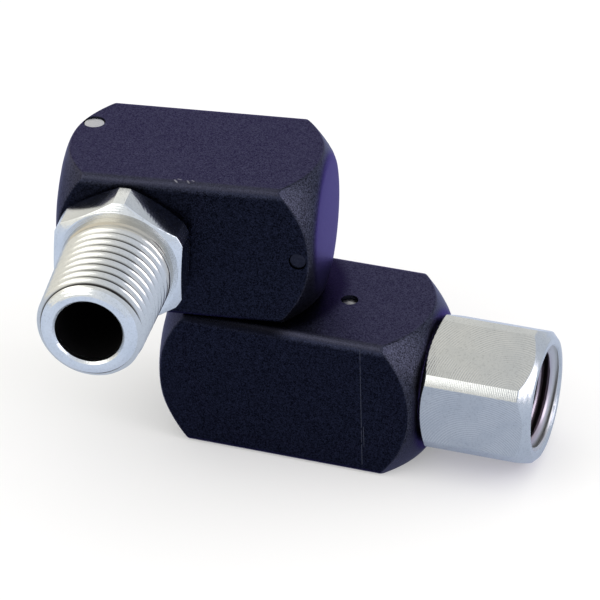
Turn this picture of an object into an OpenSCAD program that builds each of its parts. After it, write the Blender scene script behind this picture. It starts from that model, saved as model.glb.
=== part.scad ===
// Universal air-line swivel: two stacked bars that turn on each other about a vertical pivot,
// a male stud that turns in the upper bar, and a fixed hexagonal female socket in the lower bar.
// Frame: Z up, origin on the pivot axis at the lower bar's underside, +X towards the socket.

/* [Bars] */
// Height of each bar, mm
bar_height = 19.05; // [18:0.05:24]
// Depth of each bar, mm
bar_depth = 19.05; // [18:0.05:24]
// Length of the upper bar, mm
upper_length = 32.85; // [32.5:0.05:44]
// Length of the lower bar, mm
lower_length = 34.1; // [34:0.05:44]
// Radius rolled along the long edges, mm
edge_round = 0.85; // [0.3:0.05:1.5]
// Diameter of the flat disc turned on each bar's right end, mm
right_disc_dia = 17.0; // [16:0.1:18.5]
// Diameter of the flat disc turned on each bar's left end, mm
left_disc_dia = 18.2; // [16:0.1:18.5]
// Depth gained per unit of radius on a bar's crowned ends
cone_slope = 1.03; // [0.8:0.01:1.2]
// How far the right crown swells past a straight cone
right_swell = 0.6; // [0.05:0.05:0.7]
// How far the left crown swells past a straight cone
left_swell = 0.35; // [0.05:0.05:0.6]
// Gap between the two bars, mm
bar_gap = 0.25; // [0.1:0.05:1]
// Upper bar's turn about the pivot as it lies, degrees
bar_yaw = 8.1; // [-180:0.1:180]

/* [Pivot] */
// Pivot axis from the upper bar's right end, as a share of the bar's length
pivot_share = 0.29011; // [0.28:0.00001:0.3]
// Distance from the pivot axis to the lower bar's left end, mm
lower_inset = 10.0; // [9.5:0.01:11]
// Diameter of the spool's turning journal, mm
spool_journal_dia = 13.2; // [12:0.1:13.6]
// Diameter of the spool's fixed shank, mm
spool_shank_dia = 12.0; // [11:0.1:12.6]
// Diameter of the air bore in the spool, mm
spool_bore_dia = 7.6; // [5:0.1:8]
// Height of the journal above the lower bar, mm
spool_rise = 12.2; // [11.6:0.1:13.5]
// Height of the ports above the upper bar's underside, mm
port_height = 4.4; // [4.2:0.1:4.6]

/* [Stud] */
// Stud's axis from the upper bar's outer end, as a share of the bar's length
stud_share = 0.28463; // [0.28:0.00001:0.29]
// Stud hexagon across flats, mm
stud_hex = 16.0; // [15:0.1:17]
// Stud hexagon over the turned corners, mm
stud_corner_dia = 17.7; // [17.4:0.1:18.4]
// Length of the stud hexagon, mm
stud_hex_length = 5.0; // [4:0.1:8]
// Turn of the stud hexagon from point up, degrees
stud_hex_turn = 2.2; // [-30:0.1:30]
// Gap between the stud hexagon and the bar, mm
stud_gap = 0.43; // [0.2:0.01:1]
// Length of the male thread with its lead-in, mm
thread_length = 15.0; // [12:0.1:18]
// Diameter over the thread's crests at the small end, mm
thread_dia = 13.25; // [13:0.05:13.6]
// Thread taper: growth of the diameter for each mm of length
thread_taper = 0.0625; // [0.0:0.0005:0.07]
// Diameter of the stud's flat end face, mm
tip_dia = 10.4; // [9.6:0.1:11.4]
// Length of the lead-in cone at the stud's end, mm
tip_length = 1.1; // [0.5:0.1:2]
// Diameter of the stud's air bore, mm
stud_bore_dia = 8.3; // [6:0.1:8.6]
// Diameter of the stud's turning journal, mm
stud_journal_dia = 13.2; // [12.8:0.1:13.4]
// Length of the stud behind its pin's axis, mm
stud_tail = 2.705; // [2.4:0.005:3]
// Pitch of the pipe thread, mm
thread_pitch = 1.411; // [1.3:0.001:1.6]
// Depth of the thread's grooves, mm
thread_depth = 1.13; // [0.8:0.01:1.2]
// Width of the flat left on each crest, mm
thread_crest = 0.155; // [0.1:0.005:0.3]
// Plain length between the hexagon and the first groove, mm
thread_relief = 0.9; // [0.6:0.1:2]
// Length over which the grooves grow to their full depth, mm
thread_runout = 2.8; // [1.5:0.1:4]

/* [Socket] */
// How far the socket's corners stay inside the bar's faces, mm
socket_corner_room = 0.325; // [0.1:0.005:0.5]
// Socket hexagon over the turned corners less across flats, mm
socket_corner_cut = 1.8; // [1.2:0.05:2]
// Length of the socket hexagon, mm
socket_hex_length = 14.1; // [12:0.1:20]
// Turn of the socket hexagon, degrees
socket_hex_turn = 28.3; // [0:0.1:60]
// Gap between the socket hexagon and the bar, mm
socket_gap = 0.15; // [0.05:0.05:0.5]
// Width of the front chamfer on the socket's flats, mm
socket_face_room = 0.65; // [0.3:0.05:1]
// Diameter of the hole drilled for the female thread, mm
tap_dia = 11.2; // [10.8:0.1:11.6]
// Depth of the female thread, mm
tap_depth = 12.8; // [10:0.1:13.4]
// Width of the ring face round the countersink, mm
mouth_rim = 0.7; // [0.5:0.05:1]
// Least step from the countersink's edge to the drilled hole, mm
mouth_step = 1.3; // [1:0.05:1.35]
// Depth of the countersink, mm
mouth_depth = 1.1; // [0.6:0.1:1.6]
// Diameter of the socket's shank in the bar, mm
shank_dia = 14.0; // [13:0.1:14.6]
// Length of the socket's shank in the bar, mm
shank_length = 14.2; // [13:0.1:14.6]
// Diameter of the air bore behind the thread, mm
outlet_bore_dia = 8.0; // [6:0.1:8.4]

/* [Pins and seals] */
// Diameter of the stud's retaining pin, mm
stud_pin_dia = 2.7; // [2.2:0.1:3]
// Distance of the pin's axis outside the stud's journal, mm
stud_pin_out = 0.35; // [0.2:0.05:0.6]
// Distance from the upper bar's middle plane back to the stud's pin, mm
stud_pin_back = 3.67; // [3.4:0.01:3.9]
// How far the stud's pin is driven under the bar's top, mm
stud_pin_sink = 0.15; // [0:0.05:0.5]
// Diameter of the pivot's retaining pin, mm
pivot_pin_dia = 2.2; // [1.8:0.1:2.4]
// Distance of the pin's axis outside the spool's journal, mm
pivot_pin_out = 0.8; // [0.6:0.05:0.9]
// Height of the pivot's pin above the upper bar's underside, mm
pivot_pin_height = 9.4; // [9.3:0.1:9.8]
// Diameter of the socket's locking pin, mm
socket_pin_dia = 2.2; // [1.6:0.1:2.8]
// Distance of the socket's pin from the inner end of its shank, mm
socket_pin_in = 2.7; // [2:0.1:3.4]
// Socket's O-ring from its pin, as a share of the way to the bar's end
socket_seal_share = 0.6348; // [0.5:0.0001:0.7]
// How far the two small pins are driven under the surface, mm
pin_sink = 0.8; // [0.3:0.1:1.2]
// Thickness of the O-ring cords as fitted, mm
seal_cord = 1.3; // [1.1:0.05:1.4]
// Width of the O-ring grooves, mm
seal_groove = 1.9; // [1.6:0.1:2]
// Diameter of the plug in the drilled passage, mm
plug_dia = 4.2; // [3.8:0.1:4.6]
// Length of the plug, mm
plug_length = 2.6; // [1.5:0.1:3]
// Diameter of the drilled passage, mm
passage_dia = 3.2; // [2.4:0.1:3.4]
// Width of the pivot washer beyond the journal, mm
pivot_washer_rim = 1.7; // [1.1:0.05:1.8]
// Thickness of the pivot washer, mm
pivot_washer_thick = 0.8; // [0.6:0.05:1]
// Width of the stud washer beyond the journal, mm
stud_washer_rim = 1.0; // [0.6:0.05:1.2]

/* [Fits] */
// Least distance between the stud's journal and the spool's journal, mm
journal_room = 0.75; // [0.5:0.05:0.75]
// Least wall between the stud's journal and its air bore, mm
stud_wall = 2.4; // [2:0.05:2.45]
// Least wall between the spool's journal and its air bore, mm
spool_wall = 2.75; // [2.2:0.05:2.8]
// Least step from the spool's journal down to its shank, mm
shank_step = 0.55; // [0.4:0.05:0.6]
// Least wall between the socket's thread hole and its air bore, mm
outlet_step = 1.5; // [1:0.05:1.6]
// Least web between the spool's shank and the socket's shank, mm
socket_web = 3.85; // [2:0.05:3.9]
// Least step from the socket's flats down to its shank, mm
shank_shoulder = 1.25; // [0.8:0.05:1.3]
// Clearance on radius between a journal and its bore, mm
run_clear = 0.05; // [0.02:0.01:0.1]
// Clearance on radius between a pin and the groove it rides in, mm
groove_clear = 0.08; // [0.04:0.01:0.15]
// Clearance on radius between an O-ring and its bore, mm
seal_clear = 0.02; // [0.01:0.01:0.05]
// End clearance of washers and of parts in blind holes, mm
end_clear = 0.05; // [0.02:0.01:0.1]

/* [Hidden] */
eps = 0.01;
$fn = 64;
half_height = bar_height / 2;
half_depth = bar_depth / 2;
upper_z = bar_height + bar_gap;
upper_inset = upper_length * pivot_share;
stud_inset = upper_length * stud_share;
lower_start = -lower_inset;
upper_start = upper_inset - upper_length;
lower_end = lower_start + lower_length;
corner_radius = norm([half_height, half_depth]);
stud_x = upper_start + stud_inset;
journal_limit = -stud_x - journal_room;
stud_journal = min(stud_journal_dia, journal_limit);
spool_journal = min(spool_journal_dia, journal_limit);
stud_bore = min(stud_bore_dia, stud_journal - 2 * stud_wall);
spool_bore = min(spool_bore_dia, spool_journal - 2 * spool_wall);
spool_shank = min(spool_shank_dia, spool_journal - 2 * shank_step);
stud_pin_offset = stud_journal / 2 + stud_pin_out;
pivot_pin_offset = spool_journal / 2 + pivot_pin_out;
stud_washer_dia = stud_journal + 2 * stud_washer_rim;
pivot_washer_dia = spool_journal + 2 * pivot_washer_rim;

// Stud, measured along its axis from the bar's middle plane towards the mouth
hex_back = half_depth + stud_gap;
hex_front = hex_back + stud_hex_length;
stud_tip = hex_front + thread_length;
thread_end = stud_tip - tip_length;
function crest_at(s) = thread_dia / 2 + (thread_end - s) * thread_taper / 2;
thread_base = crest_at(hex_front);
groove_start = hex_front + thread_relief;
groove_count = floor((thread_end - groove_start) / thread_pitch);
groove_floor = 0.1;
groove_flank = (thread_pitch - thread_crest - groove_floor) / 2 / thread_depth;
stud_back = -stud_pin_back - stud_tail;
stud_bore_radius = stud_journal / 2 + run_clear;
blind_land = 0.6;
port_width = 4.0;
stud_seal_land = 0.75;
stud_pin_groove_front = -stud_pin_back + stud_pin_dia / 2 + groove_clear;
stud_port = stud_pin_groove_front + stud_seal_land * 2 + seal_groove + port_width / 2;
stud_seal_inner = stud_pin_groove_front + stud_seal_land + seal_groove / 2;
stud_seal_outer = stud_port + port_width / 2 + stud_seal_land + seal_groove / 2;
stud_port_dia = 3.6;
port_count = 4;
port_recess = 0.6;
drill_cone = 0.6;
hex_chamfer = 0.577;
hex_face_margin = 0.25;

// Spool, measured from the lower bar's underside
spool_foot = 3.6;
spool_top = bar_height + spool_rise;
spool_bore_radius = spool_journal / 2 + run_clear;
spool_port_z = upper_z + port_height;
spool_port_width = 2.8;
spool_land = 0.45;
pivot_seal_low = spool_port_z - spool_port_width / 2 - spool_land - seal_groove / 2;
pivot_seal_high = spool_port_z + spool_port_width / 2 + spool_land / 2 + seal_groove / 2;
spool_port_dia = 2.6;
window_wall = 2.5;
spool_window_dia = spool_shank - 2 * window_wall;
spool_bore_top = spool_port_z + spool_port_width / 2;

// Socket, measured from the pivot axis
socket_corner_dia = bar_height - 2 * socket_corner_room;
socket_hex = socket_corner_dia - socket_corner_cut;
socket_face_dia = socket_hex - 2 * socket_face_room;
mouth_dia = socket_face_dia - 2 * mouth_rim;
tap_hole = min(tap_dia, mouth_dia - 2 * mouth_step);
outlet_bore = min(outlet_bore_dia, tap_hole - 2 * outlet_step);
shank = min(shank_dia, socket_hex - 2 * shank_shoulder);
shank_depth = min(shank_length, lower_end - spool_shank / 2 - socket_web);
socket_start = lower_end - shank_depth;
socket_pin_x = socket_start + socket_pin_in;
socket_hex_back = lower_end + socket_gap;
socket_face = socket_hex_back + socket_hex_length;
tap_end = socket_face - tap_depth;
socket_seal = socket_pin_x + (lower_end - socket_pin_x) * socket_seal_share;
socket_seal_cord = 1.5;
socket_seal_groove = 2.1;
pin_hole_wall = 0.05;
pivot_pin_length = 12.4;
stud_pin_length = 15.2;
socket_pin_length = 3.4;
washer_stand = bar_gap - end_clear;

echo(stud_x = stud_x, stud_tip = stud_tip, socket_face = socket_face);

// Places a child along the upper bar as it lies, turned about the pivot
module in_upper() {
    rotate([0, 0, bar_yaw])
        translate([0, 0, upper_z])
            children();
}

// Stands a child on the stud's axis: its Z runs out of the bar's front face
module along_stud() {
    in_upper()
        translate([stud_x, 0, half_height])
            rotate([90, 0, 0])
                children();
}

// Lays a child on the socket's axis: its Z runs along +X from the pivot axis
module along_socket() {
    translate([0, 0, half_height])
        rotate([0, 90, 0])
            children();
}

// Radius and depth along a crowned end, from its disc out to the rim
function crown(disc, rim, swell) = [for (i = [0:6]) let(t = i / 6)
    [disc + (rim - disc) * t, (rim - disc) * t * cone_slope - 4 * swell * t * (1 - t)]];

// Square bar with rounded long edges, its two ends turned to a cone and a flat disc
module bar_blank(start, bar_length) {
    y_in = half_depth - edge_round;
    z_in = half_height - edge_round;
    turned = corner_radius + 1;
    left_end = crown(left_disc_dia / 2, turned, left_swell);
    right_end = crown(right_disc_dia / 2, turned, right_swell);
    translate([start, 0, half_height])
        intersection() {
            union() {
                translate([0, -half_depth, -z_in])
                    cube([bar_length, bar_depth, 2 * z_in]);
                translate([0, -y_in, -half_height])
                    cube([bar_length, 2 * y_in, bar_height]);
                for (sy = [-1, 1], sz = [-1, 1])
                    translate([0, sy * y_in, sz * z_in])
                        rotate([0, 90, 0])
                            cylinder(h = bar_length, r = edge_round);
            }
            rotate([0, 90, 0])
                rotate_extrude()
                    polygon(concat([[0, 0]], left_end,
                        [for (i = [len(right_end) - 1:-1:0])
                            [right_end[i][0], bar_length - right_end[i][1]]],
                        [[0, bar_length]]));
        }
}

// Hexagon with both faces turned to a cone and its corners turned to a land
module hex_blank(across, corner_dia, back, front, back_radius, front_radius, back_slope, front_slope, turn) {
    corner = corner_dia / 2;
    back_run = (corner - back_radius) * back_slope;
    front_run = (corner - front_radius) * front_slope;
    intersection() {
        translate([0, 0, back])
            rotate([0, 0, turn])
                cylinder(h = front - back, r = across / sqrt(3), $fn = 6);
        rotate_extrude()
            polygon([[0, back], [back_radius, back], [corner, back + back_run],
                [corner, front - front_run], [front_radius, front], [0, front]]);
    }
}

// O-ring as it sits squeezed in its groove
module o_ring(inner_radius, cord) {
    rotate_extrude()
        translate([inner_radius + cord / 2, 0])
            circle(d = cord);
}

module ring(outer_radius, inner_radius, length) {
    difference() {
        cylinder(h = length, r = outer_radius);
        translate([0, 0, -eps])
            cylinder(h = length + 2 * eps, r = inner_radius);
    }
}

module upper_block() {
    top_land = bar_height - spool_rise - blind_land;
    color([0.16, 0.16, 0.22])
        difference() {
            in_upper()
                bar_blank(upper_start, upper_length);
            along_stud()
                translate([0, 0, stud_back - blind_land])
                    cylinder(h = half_depth - stud_back + blind_land + 1, r = stud_bore_radius);
            in_upper()
                translate([0, 0, -1])
                    cylinder(h = bar_height - top_land + 1, r = spool_bore_radius);
            in_upper()
                translate([upper_start - 1, -stud_port, port_height])
                    rotate([0, 90, 0])
                        cylinder(h = 1 - upper_start - spool_journal / 4, d = passage_dia);
            in_upper()
                translate([upper_start - 1, -stud_port, port_height])
                    rotate([0, 90, 0])
                        cylinder(h = 1.3 + plug_length, d = plug_dia);
            in_upper()
                translate([stud_x - stud_pin_offset, stud_pin_back, bar_height - stud_pin_sink - stud_pin_length])
                    cylinder(h = stud_pin_length + 1, r = stud_pin_dia / 2 + pin_hole_wall);
            in_upper()
                translate([pivot_pin_offset, -half_depth + pin_sink + pivot_pin_length, pivot_pin_height])
                    rotate([90, 0, 0])
                        cylinder(h = pivot_pin_length + pin_sink + 1, d = pivot_pin_dia);
        }
}

module lower_block() {
    color([0.15, 0.15, 0.2])
        difference() {
            bar_blank(lower_start, lower_length);
            translate([0, 0, spool_foot - end_clear])
                cylinder(h = bar_height, d = spool_shank);
            translate([0, 0, bar_height + washer_stand - pivot_washer_thick])
                cylinder(h = pivot_washer_thick + 1, r = pivot_washer_dia / 2 + run_clear);
            along_socket()
                translate([0, 0, socket_start - end_clear])
                    cylinder(h = shank_depth + 1 + end_clear, d = shank);
            along_socket()
                cylinder(h = socket_start + 1, d = outlet_bore);
            translate([socket_pin_x, 0, bar_height - pin_sink - socket_pin_length])
                cylinder(h = socket_pin_length + pin_sink + 1, d = socket_pin_dia);
        }
}

// Outline of the thread's grooves along the taper, shallower next to the hexagon
function thread_grooves() = [
    for (k = [0 : groove_count - 1])
        let (
            middle = groove_start + (k + 0.5) * thread_pitch,
            depth = thread_depth * min(1, (middle - hex_front) / thread_runout),
            floor_half = groove_floor / 2,
            mouth_half = floor_half + depth * groove_flank
        )
            each [
                [crest_at(middle - mouth_half), middle - mouth_half],
                [crest_at(middle) - depth, middle - floor_half],
                [crest_at(middle) - depth, middle + floor_half],
                [crest_at(middle + mouth_half), middle + mouth_half]
            ]
];

module inlet_stud() {
    journal = stud_journal / 2;
    pin_floor = stud_pin_dia / 2 + groove_clear;
    seal_floor = stud_bore_radius - seal_clear - seal_cord;
    color([0.78, 0.78, 0.74])
        along_stud()
            difference() {
                union() {
                    rotate_extrude()
                        polygon([[0, stud_back], [journal - 0.4, stud_back], [journal, stud_back + 0.4],
                            [journal, hex_back + eps], [0, hex_back + eps]]);
                    hex_blank(stud_hex, stud_corner_dia, hex_back, hex_front,
                        stud_hex / 2 - hex_face_margin, stud_hex / 2 - hex_face_margin,
                        hex_chamfer, hex_chamfer, 30 - stud_hex_turn);
                    rotate_extrude()
                        polygon(concat([[0, hex_front - eps], [thread_base, hex_front - eps]], thread_grooves(),
                            [[thread_dia / 2, thread_end], [tip_dia / 2, stud_tip], [0, stud_tip]]));
                }
                rotate_extrude()
                    polygon([[0, stud_port - stud_bore / 4 - drill_cone * 2],
                        [stud_bore / 2, stud_port - stud_bore / 4 + drill_cone],
                        [stud_bore / 2, stud_tip - 0.3], [stud_bore / 2 + 0.3, stud_tip],
                        [stud_bore / 2 + 0.3, stud_tip + 1], [0, stud_tip + 1]]);
                rotate_extrude()
                    translate([stud_pin_offset, -stud_pin_back])
                        circle(r = pin_floor);
                for (at = [stud_seal_outer, stud_seal_inner])
                    translate([0, 0, at - seal_groove / 2])
                        ring(journal + 1, seal_floor, seal_groove);
                translate([0, 0, stud_port - port_width / 2])
                    ring(journal + 1, journal - port_recess, port_width);
                for (k = [0 : port_count - 1])
                    translate([0, 0, stud_port])
                        rotate([0, 90, 45 + k * 360 / port_count])
                            cylinder(h = stud_journal, d = stud_port_dia);
            }
}

module pivot_spool() {
    journal = spool_journal / 2;
    pin_floor = pivot_pin_dia / 2 + groove_clear;
    seal_floor = spool_bore_radius - seal_clear - seal_cord;
    shoulder = bar_height + washer_stand - pivot_washer_thick;
    color([0.7, 0.7, 0.68])
        difference() {
            rotate_extrude()
                polygon([[0, spool_foot], [spool_shank / 2 - 0.4, spool_foot],
                    [spool_shank / 2, spool_foot + 0.4], [spool_shank / 2, shoulder],
                    [journal, shoulder], [journal, spool_top - 0.4], [journal - 0.4, spool_top], [0, spool_top]]);
            translate([0, 0, spool_foot - 1])
                cylinder(h = spool_bore_top - spool_foot + 1, d = spool_bore);
            translate([0, 0, half_height])
                rotate([0, 90, 0])
                    cylinder(h = spool_shank, d = spool_window_dia);
            rotate_extrude()
                translate([pivot_pin_offset, upper_z + pivot_pin_height])
                    circle(r = pin_floor);
            for (at = [pivot_seal_low, pivot_seal_high])
                translate([0, 0, at - seal_groove / 2])
                    ring(journal + 1, seal_floor, seal_groove);
            translate([0, 0, spool_port_z - spool_port_width / 2])
                ring(journal + 1, journal - port_recess, spool_port_width);
            for (k = [0 : port_count - 1])
                translate([0, 0, spool_port_z])
                    rotate([0, 90, k * 360 / port_count])
                        cylinder(h = spool_journal, d = spool_port_dia);
        }
}

module outlet_socket() {
    seal_floor = shank / 2 - socket_seal_cord;
    color([0.78, 0.78, 0.74])
        difference() {
            along_socket()
                difference() {
                    union() {
                        rotate_extrude()
                            polygon([[0, socket_start], [shank / 2 - 0.5, socket_start],
                                [shank / 2, socket_start + 0.5], [shank / 2, socket_hex_back + eps],
                                [0, socket_hex_back + eps]]);
                        hex_blank(socket_hex, socket_corner_dia, socket_hex_back, socket_face,
                            socket_hex / 2 - hex_face_margin, socket_face_dia / 2,
                            hex_chamfer, 1, 90 - socket_hex_turn);
                    }
                    rotate_extrude()
                        polygon([[0, socket_start - 1], [outlet_bore / 2, socket_start - 1],
                            [outlet_bore / 2, tap_end - tap_hole / 6], [tap_hole / 2, tap_end],
                            [tap_hole / 2, socket_face - mouth_depth], [mouth_dia / 2, socket_face],
                            [mouth_dia / 2, socket_face + 1], [0, socket_face + 1]]);
                    translate([0, 0, socket_seal - socket_seal_groove / 2])
                        ring(shank / 2 + 1, seal_floor, socket_seal_groove);
                }
            translate([socket_pin_x, 0, bar_height - pin_sink - socket_pin_length])
                cylinder(h = bar_height, d = socket_pin_dia);
        }
}

module stud_pin() {
    color([0.85, 0.85, 0.84])
        in_upper()
            translate([stud_x - stud_pin_offset, stud_pin_back, bar_height - stud_pin_sink - stud_pin_length])
                cylinder(h = stud_pin_length, d = stud_pin_dia);
}

module pivot_pin() {
    color([0.8, 0.8, 0.79])
        in_upper()
            translate([pivot_pin_offset, -half_depth + pin_sink + pivot_pin_length, pivot_pin_height])
                rotate([90, 0, 0])
                    cylinder(h = pivot_pin_length, d = pivot_pin_dia);
}

module socket_pin() {
    color([0.8, 0.8, 0.79])
        translate([socket_pin_x, 0, bar_height - pin_sink - socket_pin_length])
            cylinder(h = socket_pin_length, d = socket_pin_dia);
}

module stud_o_ring_outer() {
    color([0.05, 0.05, 0.05])
        along_stud()
            translate([0, 0, stud_seal_outer])
                o_ring(stud_bore_radius - seal_clear - seal_cord, seal_cord);
}

module stud_o_ring_inner() {
    color([0.05, 0.05, 0.05])
        along_stud()
            translate([0, 0, stud_seal_inner])
                o_ring(stud_bore_radius - seal_clear - seal_cord, seal_cord);
}

module pivot_o_ring_lower() {
    color([0.05, 0.05, 0.05])
        translate([0, 0, pivot_seal_low])
            o_ring(spool_bore_radius - seal_clear - seal_cord, seal_cord);
}

module pivot_o_ring_upper() {
    color([0.05, 0.05, 0.05])
        translate([0, 0, pivot_seal_high])
            o_ring(spool_bore_radius - seal_clear - seal_cord, seal_cord);
}

module socket_o_ring() {
    color([0.05, 0.05, 0.05])
        along_socket()
            translate([0, 0, socket_seal])
                o_ring(shank / 2 - socket_seal_cord, socket_seal_cord);
}

module stud_washer() {
    color([0.08, 0.08, 0.08])
        along_stud()
            translate([0, 0, half_depth])
                ring(stud_washer_dia / 2, stud_bore_radius, stud_gap - end_clear);
}

module pivot_washer() {
    color([0.08, 0.08, 0.08])
        translate([0, 0, bar_height + washer_stand - pivot_washer_thick])
            ring(pivot_washer_dia / 2, spool_bore_radius, pivot_washer_thick);
}

module passage_plug() {
    color([0.6, 0.6, 0.6])
        in_upper()
            translate([upper_start + 0.3, -stud_port, port_height])
                rotate([0, 90, 0])
                    cylinder(h = plug_length, d = plug_dia);
}

upper_block();
lower_block();
inlet_stud();
pivot_spool();
outlet_socket();
stud_pin();
pivot_pin();
socket_pin();
stud_o_ring_outer();
stud_o_ring_inner();
pivot_o_ring_lower();
pivot_o_ring_upper();
socket_o_ring();
stud_washer();
pivot_washer();
passage_plug();
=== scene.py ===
import math
import bpy
import numpy as np
from mathutils import Matrix, Vector


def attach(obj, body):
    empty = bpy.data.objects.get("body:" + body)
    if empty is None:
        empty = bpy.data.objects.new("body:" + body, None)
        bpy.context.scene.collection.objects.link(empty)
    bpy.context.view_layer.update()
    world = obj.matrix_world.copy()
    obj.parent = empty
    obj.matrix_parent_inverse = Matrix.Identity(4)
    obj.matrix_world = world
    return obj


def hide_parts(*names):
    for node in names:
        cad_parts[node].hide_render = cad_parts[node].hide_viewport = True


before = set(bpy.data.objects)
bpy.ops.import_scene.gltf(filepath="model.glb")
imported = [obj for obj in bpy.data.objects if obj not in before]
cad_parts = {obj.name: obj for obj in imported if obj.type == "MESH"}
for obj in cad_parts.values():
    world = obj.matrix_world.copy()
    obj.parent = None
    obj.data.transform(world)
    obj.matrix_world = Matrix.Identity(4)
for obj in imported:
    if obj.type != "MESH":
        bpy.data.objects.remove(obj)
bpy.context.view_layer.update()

mm = 0.001
scene = bpy.context.scene
print("frame loaded:", len(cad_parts), "solids")

# where the pieces sit, in mm
halfBar = 9.525                      # half the side of the bars' section
barLift = 19.3                       # height of the upper bar's underside
barTurn = math.radians(8.1)          # turn of the upper bar on the pivot
studOffset = -13.97                  # the stud's axis along the upper bar
upperSpan = (-23.32, 9.53)           # ends of each bar along its own length, from the pivot
lowerSpan = (-10.0, 24.10)


def placeOf(origin, xAxis, yAxis):
    # the third axis is the cross product of the first two, so the frame is right-handed
    x, y = np.array(xAxis, float), np.array(yAxis, float)
    return np.array(origin, float), np.stack([x, y, np.cross(x, y)])


upperX = (math.cos(barTurn), math.sin(barTurn), 0.0)
upperY = (-math.sin(barTurn), math.cos(barTurn), 0)
studPlace = placeOf(np.array(upperX) * studOffset + [0, 0, barLift + halfBar], upperX, (0, 0, 1))
socketPlace = placeOf((0, 0, halfBar), (0, 0, -1), (0, 1, 0))
upperPlace = placeOf((0, 0, barLift), upperX, upperY)
lowerPlace = placeOf((0, 0, 0), (1, 0, 0), (0, 1, 0))


# surfaces
def around(angles, radius, height):
    # point = (radius cos angle, radius sin angle, height), each an array of rows by angles
    radius, height, angles = np.broadcast_arrays(radius, height, angles)
    return np.stack([radius * np.cos(angles), radius * np.sin(angles), height], -1)


def turnedGrid(angles, profile):
    # a profile of (radius, height) carried round the axis, each a number or one value for every angle
    one = np.ones_like(angles)
    rows = np.array([[radius * one, height * one] for radius, height in profile])
    return around(angles, rows[:, 0], rows[:, 1])


def roundedGrid(angles, profile, soft):
    # the same, but each inner corner becomes a short parabola that starts and ends `soft` away from it
    one = np.ones_like(angles)
    rows = np.array([np.stack([radius * one, height * one], -1) for radius, height in profile])
    made = [rows[0]]
    for index in range(1, len(rows) - 1):
        corner = rows[index]
        before, after = rows[index - 1] - corner, rows[index + 1] - corner
        reach = soft[index]
        if reach <= 0:
            made.append(corner)
            continue
        lengthBefore = np.linalg.norm(before, axis=-1, keepdims=True) + 1e-9
        lengthAfter = np.linalg.norm(after, axis=-1, keepdims=True) + 1e-9
        enter = corner + before * np.minimum(reach / lengthBefore, 0.4)
        leave = corner + after * np.minimum(reach / lengthAfter, 0.4)
        for t in (0.0, 0.34, 0.66, 1.0):
            made.append(enter * (1 - t) ** 2 + corner * 2 * t * (1 - t) + leave * t ** 2)
    made = np.array(made + [rows[-1]])
    return around(angles, made[..., 0], made[..., 1])


def weave(rows, columns, offset=0):
    # two triangles for each cell of a grid of rows by columns
    a = (np.arange(rows - 1)[:, None] * columns + np.arange(columns - 1)[None, :]) + offset
    b, c, d = a + 1, a + columns + 1, a + columns
    cell = np.broadcast_to(np.arange(rows - 1)[:, None], a.shape)
    column = np.broadcast_to(np.arange(columns - 1)[None, :], a.shape)
    faces = np.concatenate([np.stack([a, b, c], -1).reshape(-1, 3), np.stack([a, c, d], -1).reshape(-1, 3)])
    return faces, np.tile(cell.reshape(-1), 2), np.tile(column.reshape(-1), 2)


def makeSolid(name, place, grids, finishes, sharp=40.0):
    # each grid holds its points (rows by columns by 3, in mm), the finish of each cell and, on a thread, the share of
    # its depth cut at each point; the grids are sewn together where they meet
    allPoints, allFaces, allFinish, allCut, start = [], [], [], [], 0
    for grid in grids:
        points, finish = grid[:2]
        cut = grid[2] if len(grid) > 2 else 0.0
        rows, columns = points.shape[:2]
        faces, cell, column = weave(rows, columns, start)
        allFaces.append(faces)
        allFinish.append(np.broadcast_to(finish, (rows - 1, columns - 1))[cell, column])
        allPoints.append(points.reshape(-1, 3))
        allCut.append(np.broadcast_to(cut, (rows, columns)).reshape(-1))
        start += rows * columns
    points, faces = np.concatenate(allPoints), np.concatenate(allFaces)
    finish, cut = np.concatenate(allFinish), np.concatenate(allCut)
    rounded = np.round(points * 2000).astype(np.int64)      # points within half a micrometre are one
    first, back = np.unique(rounded, axis=0, return_index=True, return_inverse=True)[1:]
    points, cut, faces = points[first], cut[first], back.reshape(-1)[faces]
    whole = (faces[:, 0] != faces[:, 1]) & (faces[:, 1] != faces[:, 2]) & (faces[:, 2] != faces[:, 0])
    faces, finish = faces[whole], finish[whole]
    origin, axes = place
    world = (origin + points @ axes) * mm
    mesh = bpy.data.meshes.new(name)
    mesh.from_pydata(world.tolist(), [], faces.tolist())
    for material in finishes:
        mesh.materials.append(material)
    mesh.polygons.foreach_set("material_index", finish.astype(np.int32))
    mesh.polygons.foreach_set("use_smooth", np.ones(len(faces), bool))
    if cut.any():
        mesh.attributes.new("cut", "FLOAT", "POINT").data.foreach_set("value", cut.astype(np.float32))
    mesh.update()
    mesh.set_sharp_from_angle(angle=math.radians(sharp))
    solid = bpy.data.objects.new(name, mesh)
    scene.collection.objects.link(solid)
    return solid


def placePiece(piece, body, node):
    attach(piece, body)
    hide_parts(node)
    print(piece.name, "has", len(piece.data.polygons), "faces")


def makeDrill(place, radius, low, high, columns):
    # closed cylinder: a hole to be cut
    angles = np.linspace(0, 2 * math.pi, columns + 1)
    grid = turnedGrid(angles, [(0, low), (radius, low), (radius, high), (0, high)])
    return makeSolid("drill", place, [(grid, 0)], [])


def cutHoles(block, drills, sharp):
    for drill in drills:
        change = block.modifiers.new("hole", "BOOLEAN")
        change.operation, change.solver, change.object = "DIFFERENCE", "EXACT", drill
    cut = bpy.data.meshes.new_from_object(block.evaluated_get(bpy.context.evaluated_depsgraph_get()))
    block.modifiers.clear()
    block.data = cut
    for drill in drills:
        bpy.data.objects.remove(drill)
    cut.polygons.foreach_set("use_smooth", np.ones(len(cut.polygons), bool))
    cut.set_sharp_from_angle(angle=math.radians(sharp))


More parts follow.
